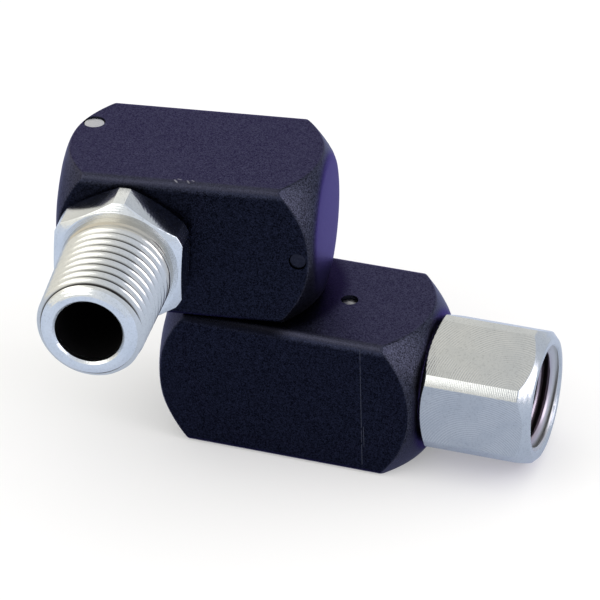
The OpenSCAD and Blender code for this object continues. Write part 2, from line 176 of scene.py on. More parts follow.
def hexAngles(across, cornerDia, turn, count):
    # even angles plus a close pair at both ends of each corner's land, where flat and land meet
    landHalf = 30 - math.degrees(math.acos(across / cornerDia))
    corners = turn + 60 * np.arange(6)
    pairs = np.concatenate([corners + side * landHalf + step
                            for side in (-1, 1) for step in (-0.35, 0.0, 0.35)])
    even = np.arange(count) * 360 / count
    angles = np.unique(np.round(np.concatenate([even, np.mod(pairs, 360)]), 4))
    keep = np.concatenate([[True], np.diff(angles) > 0.12])
    angles = angles[keep]
    angles = np.radians(np.append(angles, angles[0] + 360))
    fold = np.mod(np.degrees(angles) - turn + 30, 60) - 30     # angle from the nearest corner
    reach = np.minimum(across / 2 / np.cos(np.radians(30 - np.abs(fold))), cornerDia / 2)
    middle = (angles[1:] + angles[:-1]) / 2
    foldMiddle = np.mod(np.degrees(middle) - turn + 30, 60) - 30
    return angles, reach, np.abs(foldMiddle) < landHalf


def threadGrid(angles, low, high, pitch, crest, depth, cut, side=1):
    # height = row + pitch * angle / turn, so every row runs along the helix; outside low..high it is held there
    # radius = crest line, less (or plus, in a hole) depth where the V of the thread is cut
    # share: places along one pitch; wave: the cut at each, 1 at the root
    share = np.array([0.0, 0.055, 0.11, 0.2, 0.33, 0.46, 0.52, 0.555, 0.59, 0.65, 0.78, 0.91])
    wave = np.array([0.04, 0.0, 0.04, 0.11, 0.40, 0.80, 0.96, 1.0, 0.96, 0.80, 0.40, 0.11])
    turnsIn = (high - low) / pitch
    index = np.arange(-1, math.ceil(turnsIn) + 1)
    rowHeight = low + (index[:, None] + share[None, :]).reshape(-1) * pitch
    rowWave = np.tile(wave, len(index))
    angle = angles - angles[0]
    height = rowHeight[:, None] + pitch * angle[None, :] / (2 * math.pi)
    held = np.clip(height, low, high)
    phase = np.mod((held - low) / pitch - angle[None, :] / (2 * math.pi), 1.0)
    between = np.interp(phase, np.append(share, 1.0), np.append(wave, wave[0]))
    form = np.where(height == held, rowWave[:, None], between)
    radius = crest(held) - side * depth * form * cut(held)
    return radius, held, form * np.clip(cut(held), 0, 1)


def easeIn(value, low, high):
    t = np.clip((value - low) / (high - low), 0, 1)
    return t * t * (3 - 2 * t)


# node helpers
def feed(tree, value, socket):
    # a number, a vector or a colour is set, an output is linked
    if isinstance(value, (int, float, tuple)):
        socket.default_value = value
    else:
        tree.links.new(value, socket)


def calc(tree, operation, first, second=None, clamp=False):
    node = tree.nodes.new("ShaderNodeMath")
    node.operation = operation
    node.use_clamp = clamp
    feed(tree, first, node.inputs[0])
    if second is not None:
        feed(tree, second, node.inputs[1])
    return node.outputs[0]


def add(tree, first, second, clamp=False):
    return calc(tree, "ADD", first, second, clamp)


def minus(tree, first, second):
    return calc(tree, "SUBTRACT", first, second)


def times(tree, first, second, clamp=False):
    return calc(tree, "MULTIPLY", first, second, clamp)


def divide(tree, first, second, clamp=False):
    return calc(tree, "DIVIDE", first, second, clamp)


def larger(tree, first, second):
    return calc(tree, "MAXIMUM", first, second)


def smaller(tree, first, second):
    return calc(tree, "MINIMUM", first, second)


def hypotenuse(tree, first, second):
    return calc(tree, "SQRT", add(tree, times(tree, first, first), times(tree, second, second)))


def vectorCalc(tree, operation, first, second=None, scale=None):
    node = tree.nodes.new("ShaderNodeVectorMath")
    node.operation = operation
    feed(tree, first, node.inputs[0])
    if second is not None:
        feed(tree, second, node.inputs[1])
    if scale is not None:
        feed(tree, scale, node.inputs["Scale"])
    return node.outputs["Value"] if operation in ("LENGTH", "DOT_PRODUCT", "DISTANCE") else node.outputs[0]


def ease(tree, value, low, high, toLow=0.0, toHigh=1.0):
    # smooth step of the value from low to high
    node = tree.nodes.new("ShaderNodeMapRange")
    node.interpolation_type = "SMOOTHSTEP"
    for name, number in (("From Min", low), ("From Max", high), ("To Min", toLow), ("To Max", toHigh)):
        feed(tree, number, node.inputs[name])
    feed(tree, value, node.inputs["Value"])
    return node.outputs[0]


def noiseOf(tree, vector, scale, detail=2.0, roughness=0.5):
    node = tree.nodes.new("ShaderNodeTexNoise")
    for name, value in (("Vector", vector), ("Scale", scale), ("Detail", detail), ("Roughness", roughness)):
        feed(tree, value, node.inputs[name])
    return node.outputs[0]


def mixColour(tree, share, first, second):
    node = tree.nodes.new("ShaderNodeMix")
    node.data_type = "RGBA"
    for socket, value in ((node.inputs[0], share), (node.inputs[6], first), (node.inputs[7], second)):
        feed(tree, (*value, 1) if isinstance(value, tuple) else value, socket)
    return node.outputs[2]


def newGroup(name, inputs, outputs):
    group = bpy.data.node_groups.new(name, "ShaderNodeTree")
    for title, kind, value in inputs:
        socket = group.interface.new_socket(name=title, in_out="INPUT", socket_type="NodeSocket" + kind)
        if value is not None:
            socket.default_value = value
    for title, kind in outputs:
        group.interface.new_socket(name=title, in_out="OUTPUT", socket_type="NodeSocket" + kind)
    entry, leave = group.nodes.new("NodeGroupInput"), group.nodes.new("NodeGroupOutput")
    return group, entry.outputs, leave.inputs


def useGroup(tree, group, **values):
    node = tree.nodes.new("ShaderNodeGroup")
    node.node_tree = group
    for title, value in values.items():
        feed(tree, value, node.inputs[title])
    return node.outputs


# shared effects
def makeSpeckle():
    # fine grain: one noise at the asked scale and one two and a half times coarser; a slow cloud; both about zero
    group, given, out = newGroup("speckle",
        [("Vector", "Vector", None), ("Scale", "Float", 6000.0), ("Patch", "Float", 260.0)],
        [("Grain", "Float"), ("Cloud", "Float")])
    fine = noiseOf(group, given["Vector"], given["Scale"], 2.0, 0.65)
    coarse = noiseOf(group, given["Vector"], times(group, given["Scale"], 0.4), 2.0, 0.6)
    both = add(group, times(group, fine, 0.82), times(group, coarse, 0.18))
    group.links.new(minus(group, both, 0.5), out["Grain"])
    cloud = noiseOf(group, given["Vector"], given["Patch"], 3.0, 0.55)
    group.links.new(minus(group, cloud, 0.5), out["Cloud"])
    return group


def makeStroke():
    # distance from the point to the line between two ends, widened and broken up by noise
    group, given, out = newGroup("stroke",
        [("Vector", "Vector", None), ("From", "Vector", (0, 0, 0)), ("To", "Vector", (0, 0, 0.01)),
         ("Width", "Float", 0.0001), ("Break", "Float", 0.3), ("Scale", "Float", 1500.0)],
        [("Mask", "Float")])
    along = vectorCalc(group, "SUBTRACT", given["To"], given["From"])
    off = vectorCalc(group, "SUBTRACT", given["Vector"], given["From"])
    share = divide(group, vectorCalc(group, "DOT_PRODUCT", off, along),
                   vectorCalc(group, "DOT_PRODUCT", along, along), clamp=True)
    nearest = vectorCalc(group, "SCALE", along, scale=share)
    distance = vectorCalc(group, "DISTANCE", off, nearest)
    line = ease(group, distance, times(group, given["Width"], 0.3), given["Width"], 1.0, 0.0)
    patchy = noiseOf(group, given["Vector"], given["Scale"], 1.0)
    kept = ease(group, patchy, minus(group, given["Break"], 0.06), add(group, given["Break"], 0.1))
    group.links.new(times(group, line, kept), out["Mask"])
    return group


def makeBarEdges():
    # in the bar's own frame, in mm: how far a point is from the crowned ends and from the rounded square section
    group, given, out = newGroup("barEdges",
        [("Vector", "Vector", None), ("Left", "Float", -23.3), ("Right", "Float", 9.5),
         ("LeftDisc", "Float", 9.1), ("RightDisc", "Float", 8.5), ("LeftFirst", "Float", 0.77),
         ("LeftSecond", "Float", 0.05), ("RightFirst", "Float", 0.63), ("RightSecond", "Float", 0.07),
         ("Half", "Float", 9.525), ("Rolled", "Float", 0.85), ("Ease", "Float", 0.7), ("Width", "Float", 0.25)],
        [("Turned", "Float"), ("Edge", "Float"), ("Round", "Float"), ("Up", "Float"), ("Radius", "Float")])
    split = group.nodes.new("ShaderNodeSeparateXYZ")
    group.links.new(vectorCalc(group, "SCALE", given["Vector"], scale=1000.0), split.inputs[0])
    x, y, z = split.outputs
    z = minus(group, z, given["Half"])
    radius = hypotenuse(group, y, z)

    def fromCrown(away, disc, first, second):
        # depth of the crown at this radius: first * eased step past the disc + second * its square
        past = minus(group, radius, disc)
        eased = times(group, add(group, past, hypotenuse(group, past, given["Ease"])), 0.5)
        step = larger(group, past, 0.0)
        depth = add(group, times(group, first, eased), times(group, second, times(group, step, step)))
        return minus(group, away, depth)

    left = fromCrown(minus(group, x, given["Left"]), given["LeftDisc"], given["LeftFirst"], given["LeftSecond"])
    right = fromCrown(minus(group, given["Right"], x), given["RightDisc"], given["RightFirst"], given["RightSecond"])
    crown = smaller(group, left, right)
    core = minus(group, given["Half"], given["Rolled"])
    sideY = minus(group, calc(group, "ABSOLUTE", y), core)
    sideZ = minus(group, calc(group, "ABSOLUTE", z), core)
    outside = hypotenuse(group, larger(group, sideY, 0.0), larger(group, sideZ, 0.0))
    inside = smaller(group, larger(group, sideY, sideZ), 0.0)
    section = minus(group, given["Rolled"], add(group, outside, inside))
    near = larger(group, times(group, crown, 0.7), section)
    group.links.new(ease(group, near, 0.03, given["Width"], 1.0, 0.0), out["Edge"])
    turned = ease(group, crown, 0.03, 0.14, 1.0, 0.0)
    group.links.new(turned, out["Turned"])
    group.links.new(ease(group, smaller(group, sideY, sideZ), -0.3, 0.2), out["Round"])
    # painted light: how far a face looks up, on the flats and on the upper half of the turned ends; the finish paints
    # the upper faces lighter with it
    flatTopLight = ease(group, divide(group, minus(group, z, core), given["Rolled"]), -0.75, 0.05)
    turnedTopLight = times(group, divide(group, z, radius), 0.62, clamp=True)
    up = add(group, times(group, flatTopLight, minus(group, 1.0, turned)), times(group, turnedTopLight, turned))
    group.links.new(up, out["Up"])
    group.links.new(radius, out["Radius"])
    return group


def makeToolMarks():
    # turned grooves: a sine of the radius and the height; milled arcs: a sine of the distance from a cutter's centre
    group, given, out = newGroup("toolMarks",
        [("Vector", "Vector", None), ("Pitch", "Float", 0.00016), ("ArcPitch", "Float", 0.0003),
         ("Centre", "Vector", (0, 0, 0)), ("Other", "Vector", (0, 0, 0)), ("Border", "Float", 0.0),
         ("Patch", "Float", 300.0)],
        [("Grooves", "Float"), ("Arcs", "Float"), ("Down", "Float"), ("Height", "Float")])
    split = group.nodes.new("ShaderNodeSeparateXYZ")
    group.links.new(given["Vector"], split.inputs[0])
    x, y, z = split.outputs
    turns = divide(group, add(group, hypotenuse(group, x, y), times(group, z, 0.7)), given["Pitch"])
    wobble = noiseOf(group, given["Vector"], 900.0, 2.0)
    phase = times(group, add(group, turns, times(group, wobble, 0.8)), 2 * math.pi)
    group.links.new(calc(group, "SINE", phase), out["Grooves"])
    # the first cutter's arcs up to the border, the other's past it
    past = ease(group, x, minus(group, given["Border"], 0.0001), add(group, given["Border"], 0.0001))
    other = times(group, past, vectorCalc(group, "DISTANCE", given["Vector"], given["Other"]))
    first = times(group, minus(group, 1.0, past), vectorCalc(group, "DISTANCE", given["Vector"], given["Centre"]))
    phase = times(group, divide(group, add(group, other, first), given["ArcPitch"]), 2 * math.pi)
    patch = ease(group, noiseOf(group, given["Vector"], given["Patch"], 1.0), 0.36, 0.58)
    group.links.new(times(group, calc(group, "SINE", phase), patch), out["Arcs"])
    group.links.new(x, out["Down"])
    group.links.new(z, out["Height"])
    return group


speckle, stroke, barEdges, toolMarks = makeSpeckle(), makeStroke(), makeBarEdges(), makeToolMarks()


def newMaterial(name, place=None):
    material = bpy.data.materials.new(name)
    material.use_nodes = True
    tree = material.node_tree
    shader = tree.nodes["Principled BSDF"]
    coordinates = tree.nodes.new("ShaderNodeTexCoord").outputs["Object"]
    if place is not None:
        mapping = tree.nodes.new("ShaderNodeMapping")     # takes the object's point into the part's own frame
        mapping.vector_type = "TEXTURE"
        origin, axes = place
        mapping.inputs["Location"].default_value = tuple(origin * mm)
        mapping.inputs["Rotation"].default_value = Matrix(axes.T.tolist()).to_euler("XYZ")
        tree.links.new(coordinates, mapping.inputs["Vector"])
        coordinates = mapping.outputs[0]
    return material, tree, shader, coordinates


def bumpInto(tree, shader, height, distance, strength=1.0):
    bump = tree.nodes.new("ShaderNodeBump")
    bump.inputs["Strength"].default_value = strength
    bump.inputs["Distance"].default_value = distance
    tree.links.new(height, bump.inputs["Height"])
    tree.links.new(bump.outputs[0], shader.inputs["Normal"])


# finishes: colours, roughness, scale of the grain and depth of the relief in metres
barFinish = {
    # painted light: the sides keep the dark side colour and the upper faces take the lighter colour after it
    "side": (0.0092, 0.0105, 0.0190), "top": (0.0315, 0.0335, 0.0510), "turned": (0.0335, 0.0335, 0.0450),
    # the edge colour serves rubbed edges, which are wear, and the painted highlight on the upper rolled edges
    "edge": (0.046, 0.047, 0.074), "bare": (0.30, 0.30, 0.34), "pivotShadeColour": (0.0015, 0.0015, 0.0025),
    "grazing": (0.64, 0.58, 1.0), "crownGrazing": (0.82, 0.80, 1.0), "discGrazing": (0.60, 0.51, 1.0),
    "roughness": 0.43, "turnedRoughness": 0.38, "grain": 5600.0, "grainTone": 5.6, "cloudTone": 0.22,
    "rolledTopHighlight": 0.5, "edgeWear": 0.22, "pivotShade": 0.85, "ringPitch": 0.22, "ringDepth": 0.05, "relief": 0.00004}
# the bars' shape, in mm
bars = {
    "half": halfBar, "rolled": 0.85, "rim": 14.470, "slope": 1.03, "discEdge": 0.7, "soft": 0.2, "sharp": 32.0,
    "leftDisc": 9.1, "rightDisc": 8.5, "leftSwell": 0.35, "rightSwell": 0.6}


def crownTerms(disc, swell):
    # the swollen cone as first * step + second * step squared, where step is the radius past the disc
    span = bars["rim"] - disc
    return bars["slope"] - 4 * swell / span, 4 * swell / span ** 2


def makeBarFinish(name, place, span, strokes, pivotShadeRadius=0.0):
    look = barFinish
    material, tree, shader, point = newMaterial(name, place)
    leftFirst, leftSecond = crownTerms(bars["leftDisc"], bars["leftSwell"])
    rightFirst, rightSecond = crownTerms(bars["rightDisc"], bars["rightSwell"])
    edges = useGroup(tree, barEdges, Vector=point, Left=span[0], Right=span[1], LeftDisc=bars["leftDisc"],
                     RightDisc=bars["rightDisc"], LeftFirst=leftFirst, LeftSecond=leftSecond, RightFirst=rightFirst,
                     RightSecond=rightSecond, Half=bars["half"], Rolled=bars["rolled"], Ease=bars["discEdge"])
    grain = useGroup(tree, speckle, Vector=point, Scale=look["grain"], Patch=150.0)
    # painted light: the upper faces and the upper half of the ends are painted lighter
    sides = mixColour(tree, edges["Up"], look["side"], look["top"])
    ends = mixColour(tree, edges["Up"], look["turned"], look["top"])
    colour = mixColour(tree, edges["Turned"], sides, ends)
    tone = add(tree, times(tree, grain["Grain"], look["grainTone"]), times(tree, grain["Cloud"], look["cloudTone"]))
    colour = vectorCalc(tree, "SCALE", colour, scale=larger(tree, add(tree, tone, 1.0), 0.25))
    worn = ease(tree, noiseOf(tree, point, 700.0, 3.0, 0.6), 0.46, 0.68)
    # painted highlight: the rolled edges of the upper faces are lightened towards the edge colour; rubbed is wear
    # along the edges, broken up by noise
    rolled = times(tree, times(tree, edges["Round"], edges["Up"]), look["rolledTopHighlight"])
    rubbed = times(tree, times(tree, edges["Edge"], worn), look["edgeWear"])
    colour = mixColour(tree, add(tree, rolled, rubbed, clamp=True), colour, look["edge"])
    if pivotShadeRadius:      # painted shade: a dark patch on the bar's upper face round the pivot, where the upper bar shades it, out to this radius in mm
        flat = vectorCalc(tree, "MULTIPLY", point, (1.0, 1.0, 0.0))
        pivotShade = ease(tree, vectorCalc(tree, "LENGTH", flat), pivotShadeRadius * mm, (pivotShadeRadius + 2.0) * mm, look["pivotShade"], 0.0)
        colour = mixColour(tree, times(tree, pivotShade, edges["Up"]), colour, look["pivotShadeColour"])
    marks = 0.0
    for begin, end, width, gap, amount in strokes:
        tips = {"From": tuple(v * mm for v in begin), "To": tuple(v * mm for v in end)}
        mask = useGroup(tree, stroke, Vector=point, Width=width * mm, Break=gap, **tips)["Mask"]
        marks = larger(tree, marks, times(tree, mask, amount))
    colour = mixColour(tree, marks, colour, look["bare"])
    tree.links.new(colour, shader.inputs["Base Color"])
    rough = add(tree, times(tree, grain["Grain"], 0.3), look["roughness"])
    smoother = times(tree, edges["Turned"], look["roughness"] - look["turnedRoughness"])
    tree.links.new(minus(tree, rough, smoother), shader.inputs["Roughness"])
    shader.inputs["Metallic"].default_value = 1.0
    inDisc = ease(tree, edges["Radius"], bars["rightDisc"], bars["leftDisc"] + 0.4, 1.0, 0.0)
    endTint = mixColour(tree, inDisc, look["crownGrazing"], look["discGrazing"])
    tree.links.new(mixColour(tree, edges["Turned"], look["grazing"], endTint), shader.inputs["Specular Tint"])
    rings = calc(tree, "SINE", times(tree, edges["Radius"], 2 * math.pi / look["ringPitch"]))
    height = add(tree, grain["Grain"], times(tree, times(tree, rings, edges["Turned"]), look["ringDepth"]))
    bumpInto(tree, shader, minus(tree, height, times(tree, marks, 0.5)), look["relief"], 0.8)
    return material


# scratches and nicks, in mm in the bar's own frame: from, to, width, break-up, strength
upperMarks = [
    ((-7.9, -8.75, 19.05), (-7.5, -9.15, 19.0), 0.15, 0.36, 0.75),
    ((-7.5, -8.5, 19.05), (-7.1, -8.6, 19.05), 0.13, 0.36, 0.60),
    ((-6.3, -8.7, 19.05), (-6.0, -9.1, 19.0), 0.15, 0.36, 0.75),
    ((-5.9, -8.5, 19.05), (-5.5, -8.7, 19.05), 0.13, 0.36, 0.60),
]
lowerMarks = [
    ((17.35, -9.53, 0.6), (17.05, -9.53, 18.3), 0.07, 0.36, 0.17),
    ((17.6, -9.53, 4.0), (17.5, -9.53, 7.0), 0.05, 0.42, 0.22),
]
upperBarFinish = makeBarFinish("upperBarFinish", upperPlace, upperSpan, upperMarks)
# the lower bar gets a painted shade round the pivot, under the upper bar
lowerBarFinish = makeBarFinish("lowerBarFinish", lowerPlace, lowerSpan, lowerMarks, pivotShadeRadius=10.8)


steelFinish = {
    "colour": (0.50, 0.52, 0.530), "pale": (0.62, 0.625, 0.61), "dull": (0.33, 0.335, 0.34),
    "warm": (0.60, 0.585, 0.53), "tan": (0.50, 0.46, 0.38), "floorReflection": (0.15, 0.125, 0.33),
    "bore": (0.022, 0.019, 0.020), "rootShade": (0.030, 0.025, 0.022), "inside": (0.42, 0.36, 0.40),
    "deepShade": (0.070, 0.045, 0.050), "roughness": 0.20, "grain": 4200.0, "relief": 0.000016}


def makeSteel(name, place, kind, centre=(0, 0, 0), other=(0, 0, 0), border=100.0, arcs=1.0, base=0.0, mouth=0.0,
              tone=1.0, floorReflectionFrom=100.0):
    # in mm: centre and other are the centres of the milled arcs and border the line between them; base is where the
    # plain neck by the hexagon ends, mouth the socket's face, and the last argument where a painted reflection of
    # the shaded floor starts below the axis
    look = steelFinish
    material, tree, shader, point = newMaterial(name, place)
    marks = useGroup(tree, toolMarks, Vector=point, Centre=tuple(v * mm for v in centre),
                     Other=tuple(v * mm for v in other), Border=border * mm, Patch=330.0)
    grain = useGroup(tree, speckle, Vector=point, Scale=look["grain"], Patch=240.0)
    cloudy = add(tree, times(tree, grain["Cloud"], 1.2), 0.25, clamp=True)
    colour = mixColour(tree, cloudy, look["colour"], look["pale"])
    colour = mixColour(tree, times(tree, grain["Grain"], -2.4, clamp=True), colour, look["dull"])
    # painted light: tone scales this copy of the steel brighter or darker to paint how brightly its surfaces are lit
    colour = vectorCalc(tree, "SCALE", colour, scale=tone)
    # painted reflection: below the axis, past the given height, the steel takes the violet of the shaded floor it
    # mirrors
    floorReflectionMask = ease(tree, marks["Down"], (floorReflectionFrom - 0.25) * mm, (floorReflectionFrom + 0.05) * mm)
    colour = mixColour(tree, floorReflectionMask, colour, look["floorReflection"])
    rough = add(tree, times(tree, grain["Cloud"], 0.12), look["roughness"])
    height = times(tree, grain["Grain"], 0.35)
    if kind == "turned":
        height = add(tree, height, times(tree, marks["Grooves"], 0.30))
    if kind == "milled":
        height = add(tree, height, times(tree, marks["Arcs"], 0.6 * arcs))
        colour = mixColour(tree, times(tree, marks["Arcs"], 0.6 * arcs, clamp=True), colour, look["pale"])
        colour = mixColour(tree, times(tree, marks["Arcs"], -0.2 * arcs, clamp=True), colour, look["dull"])
        rough = minus(tree, rough, 0.05)
    if kind in ("thread", "innerThread"):
        # painted shade: the thread's roots are darkened where they lie in shade; the share of the thread's depth is
        # stored on the surface
        stored = tree.nodes.new("ShaderNodeAttribute")
        stored.attribute_name = "cut"
        share = stored.outputs["Fac"]
        colour = mixColour(tree, 0.45, colour, look["warm"])
        if kind == "innerThread":
            # painted shade: the hole's thread darkens from the inside colour near the mouth to the deep colour
            # further in, and its roots darken; the lip keeps the plain steel at the mouth
            deep = ease(tree, marks["Height"], (mouth - 9.0) * mm, (mouth - 0.8) * mm, 1.0, 0.0)
            inside = mixColour(tree, deep, look["inside"], look["deepShade"])
            inside = mixColour(tree, ease(tree, share, 0.35, 0.75, 0.0, 0.85), inside, look["rootShade"])
            lip = ease(tree, marks["Height"], (mouth - 1.3) * mm, (mouth - 0.7) * mm, 0.0, 0.7)
            colour = mixColour(tree, lip, inside, colour)
            rough = add(tree, rough, 0.10)
        else:
            neck = ease(tree, marks["Height"], (base - 0.6) * mm, base * mm, 0.8, 0.0)
            colour = mixColour(tree, neck, colour, look["tan"])
            colour = mixColour(tree, ease(tree, share, 0.35, 0.55, 0.0, 0.95), colour, look["rootShade"])
        rough = add(tree, rough, times(tree, share, 0.18))
    if kind == "bore":
        # painted shade: the bore is painted almost all in the dark bore colour, the shade inside the hole
        colour = mixColour(tree, 0.95, colour, look["bore"])
        rough = add(tree, rough, 0.25)
    tree.links.new(colour, shader.inputs["Base Color"])
    tree.links.new(rough, shader.inputs["Roughness"])
    shader.inputs["Metallic"].default_value = 1.0
    bumpInto(tree, shader, height, look["relief"], 0.9)
    return material


# painted light: through tone the stud's turned faces and thread are painted brighter and the socket's flats darker
studSteel = [
    makeSteel("studTurned", studPlace, "turned", tone=1.34),
    makeSteel("studMilled", studPlace, "milled", centre=(3, 12, 14), arcs=0.25),
    makeSteel("studThread", studPlace, "thread", base=17.2, tone=1.20),
    makeSteel("studBore", studPlace, "bore")]
socketSteel = [
    makeSteel("socketTurned", socketPlace, "turned", floorReflectionFrom=8.2),
    makeSteel("socketMilled", socketPlace, "milled", centre=(-4.8, -7.8, 35.5), other=(6.5, -8.1, 32.0), border=-4.7,
              tone=0.9, floorReflectionFrom=4.5),
    makeSteel("socketThread", socketPlace, "innerThread", mouth=38.35),
    makeSteel("socketBore", socketPlace, "bore")]
turned, milled, threaded, bored = range(4)      # places of the finishes in both lists


def makePlain(name, colour, other, roughness, metallic, scale):
    # two colours mottled together by the grain
    material, tree, shader, point = newMaterial(name)
    grain = useGroup(tree, speckle, Vector=point, Scale=scale, Patch=400.0)
    mottle = add(tree, times(tree, grain["Grain"], 2.0), 0.5, clamp=True)
    tree.links.new(mixColour(tree, mottle, colour, other), shader.inputs["Base Color"])
    tree.links.new(add(tree, times(tree, grain["Cloud"], 0.2), roughness), shader.inputs["Roughness"])
    shader.inputs["Metallic"].default_value = metallic
    bumpInto(tree, shader, grain["Grain"], 0.00001, 0.6)
    return material


darkPinFinish = makePlain("darkPinFinish", (0.012, 0.013, 0.022), (0.026, 0.027, 0.040), 0.40, 1.0, 3000.0)
dullPinFinish = makePlain("dullPinFinish", (0.20, 0.20, 0.21), (0.34, 0.34, 0.35), 0.36, 1.0, 3000.0)
pinFinish = makePlain("pinFinish", (0.50, 0.51, 0.55), (0.41, 0.42, 0.46), 0.30, 1.0, 3000.0)
sealFinish = makePlain("sealFinish", (0.010, 0.010, 0.011), (0.022, 0.021, 0.021), 0.45, 0.0, 3000.0)
washerFinish = makePlain("washerFinish", (0.014, 0.014, 0.016), (0.030, 0.029, 0.032), 0.55, 0.0, 2600.0)
plugFinish = makePlain("plugFinish", (0.035, 0.035, 0.048), (0.055, 0.054, 0.070), 0.42, 1.0, 3600.0)
print("finishes made")


# bars: a rounded square section, its ends crowned, then drilled
def crownDepth(radius, disc, swell):
    # first * eased step past the disc + second * the step squared; the eased step softens the disc's edge
    first, second = crownTerms(disc, swell)
    past = radius - disc
    return first * (past + np.sqrt(past ** 2 + bars["discEdge"] ** 2)) / 2 + second * np.maximum(past, 0) ** 2


def sectionAngles():
    # even steps along each flat and finer ones round each rolled edge, and the section's reach at each angle
    core = bars["half"] - bars["rolled"]
    tangent = math.degrees(math.atan2(core, bars["half"]))
    side = np.concatenate([np.linspace(-tangent + 0.5, tangent - 0.5, 43), np.linspace(tangent, 90 - tangent, 9)])
    angles = np.radians(np.concatenate([side + turn for turn in (0, 90, 180, 270)] + [side[:1] + 360]))
    c, s = np.abs(np.cos(angles)), np.abs(np.sin(angles))
    flat = bars["half"] / np.maximum(c, s)
    along = core * (c + s)
    rolled = along + np.sqrt(np.maximum(along ** 2 - 2 * core ** 2 + bars["rolled"] ** 2, 0))
    return angles, np.where(np.minimum(c, s) * flat > core, rolled, flat)


def crownRows(reach, disc, swell):
    # radius and depth from the end's centre out over the edge, the edge itself a short parabola
    soft, rings = bars["soft"], (0.0, 5.0, 7.4, 7.8, 8.15, 8.5)
    radii = [r + 0 * reach for r in rings]
    radii += [rings[-1] + (reach - soft - rings[-1]) * share for share in (0.2, 0.4, 0.6, 0.8, 1.0)]
    rows = [(r, crownDepth(r, disc, swell)) for r in radii]
    enter, corner = rows[-1], (reach, crownDepth(reach, disc, swell))
    leave = (reach, corner[1] + soft)
    for t in (0.25, 0.5, 0.75, 1.0):
        weights = (1 - t) ** 2, 2 * t * (1 - t), t ** 2
        rows.append(tuple(a * weights[0] + b * weights[1] + c * weights[2] for a, b, c in zip(enter, corner, leave)))
    rows.append((reach, leave[1] + 0.12))
    return rows


downBar, outFront, alongBar = (0, 0, 1), (0, -1, 0), (1, 0, 0)      # directions in a bar's own frame


def barAxis(bar, point, axis):
    # a hole's or a pin's own place: its third axis runs along the axis given in the bar's frame
    origin, axes = bar
    side = (0, 1, 0) if axis == alongBar else alongBar
    along, across = np.array(axis, float) @ axes, np.array(side, float) @ axes
    return placeOf(origin + np.array(point, float) @ axes, across, np.cross(along, across))


def buildBar(name, section, bar, span, holes, finish, body, node):
    angles, reach = sectionAngles()
    left = [(r, span[0] + depth) for r, depth in crownRows(reach, bars["leftDisc"], bars["leftSwell"])]
    right = [(r, span[1] - depth) for r, depth in crownRows(reach, bars["rightDisc"], bars["rightSwell"])]
    solid = makeSolid(name, section, [(turnedGrid(angles, left + right[::-1]), 0)], [finish], bars["sharp"])
    cutHoles(solid, [makeDrill(barAxis(bar, point, axis), *size) for point, axis, *size in holes], bars["sharp"])
    placePiece(solid, body, node)


# holes, in mm in the bar's frame: a point on the axis, its direction, radius, start and end along it, sides
upperHoles = [
    ((studOffset, 0, halfBar), outFront, 6.65, -6.975, 10.525, 96),      # stud's bore
    ((0, 0, 0), downBar, 6.65, -1.0, 12.8, 96),                          # spool's bore
    ((0, -3.16, 4.4), alongBar, 1.6, -24.32, -3.3, 48),                  # air passage
    ((0, -3.16, 4.4), alongBar, 2.1, -24.32, -20.42, 48),                # seat of its plug
    ((-20.92, 3.67, 0), downBar, 1.40, 3.7, 19.9, 48),                   # stud's pin
    ((7.4, 0, 9.4), outFront, 1.1, -3.675, 10.525, 48)]                  # pivot's pin
lowerHoles = [
    ((0, 0, 0), downBar, 6.05, 3.55, 22.6, 96),                          # spool's bore
    ((0, 0, 0), downBar, 8.35, 18.45, 20.25, 96),                        # seat of the pivot's washer
    ((0, 0, halfBar), alongBar, 7.0, 9.85, 25.1, 96),                    # socket's bore
    ((0, 0, halfBar), alongBar, 4.0, 0.0, 10.9, 96),                     # air passage
    ((12.6, 0, 0), downBar, 1.1, 14.85, 20.05, 48)]                      # socket's pin
upperSection = placeOf((0, 0, barLift + halfBar), upperY, (0, 0, 1))
lowerSection = placeOf((0, 0, halfBar), (0, 1, 0), (0, 0, 1))
buildBar("crownedUpperBar", upperSection, upperPlace, upperSpan, upperHoles, upperBarFinish,
         "upper_bar", "upper_block")
buildBar("crownedLowerBar", lowerSection, lowerPlace, lowerSpan, lowerHoles, lowerBarFinish,
         "lower_bar", "lower_block")


# stud: hexagon, taper thread, air bore
stud = {
    "across": 16.0, "cornerDia": 17.7, "turn": 90 - 2.2, "hexBack": 9.955, "hexFront": 14.955,
    "faceRadius": 7.75, "faceSlope": 0.577, "threadEnd": 28.855, "tip": 29.955, "tipRadius": 5.2,
    "boreRadius": 4.15, "boreEnd": 1.7, "crestAtHex": 7.059, "crestAtTip": 6.625, "pitch": 1.411,
    "depth": 1.13, "runOut": (0.7, 3.4), "pastEnd": 0.55, "journal": 6.6, "back": -6.375,
    "pinCentre": (6.95, -3.67), "pinRadius": 1.43, "sealFloor": 6.65 - 0.02 - 1.3, "sealWidth": 1.9,
    "wall": 0.75, "portHalf": 2.0, "portDepth": 0.6, "columns": 216, "edge": 0.10}


